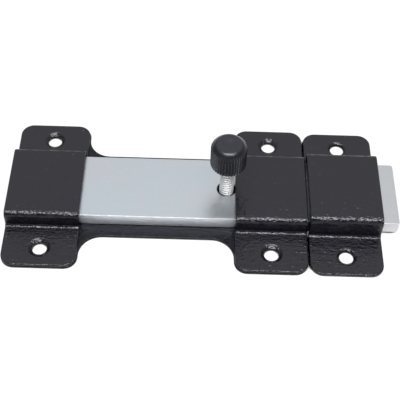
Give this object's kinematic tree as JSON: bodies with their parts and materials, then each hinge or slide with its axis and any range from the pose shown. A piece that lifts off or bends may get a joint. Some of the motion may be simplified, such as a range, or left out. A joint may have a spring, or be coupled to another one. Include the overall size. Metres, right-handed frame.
{
  "type": "door bolt",
  "caption": "Sliding door bolt: a flat plated bar runs through folded guide straps on a black base plate into a separate keeper, held by a fluted thumb screw.",
  "frame": {"origin": "centre of the four base screws, on the underside of the base plate", "axes": "+X along the bolt towards the keeper, +Y across the plate, +Z away from the door"},
  "size_m": [0.1647, 0.0764, 0.0365],
  "materials": {
    "black_coating": "charcoal black powder coating with a fine hammered texture, semi-gloss",
    "zinc_plating": "bluish bright zinc plating, satin",
    "black_plastic": "moulded black plastic, satin"
  },
  "bodies": {
    "mounting": {"base_plate": "black_coating", "rear_guide": "black_coating", "front_guide": "black_coating", "keeper": "black_coating"},
    "bolt": {"bolt_bar": "zinc_plating"},
    "thumb_screw": {"knob_stud": "zinc_plating", "knob_head": "black_plastic"}
  },
  "joints": [
    {"name": "bolt_slide", "type": "slide", "parent": "mounting", "child": "bolt", "axis": [1, 0, 0], "range_m": [-0.0579, 0.0005]},
    {"name": "thumb_screw_turn", "type": "hinge", "parent": "bolt", "child": "thumb_screw", "pos_m": [0.0289, 0, 0.0243], "axis": [0, 0, 1], "range_deg": [-1080, 720]}
  ]
}
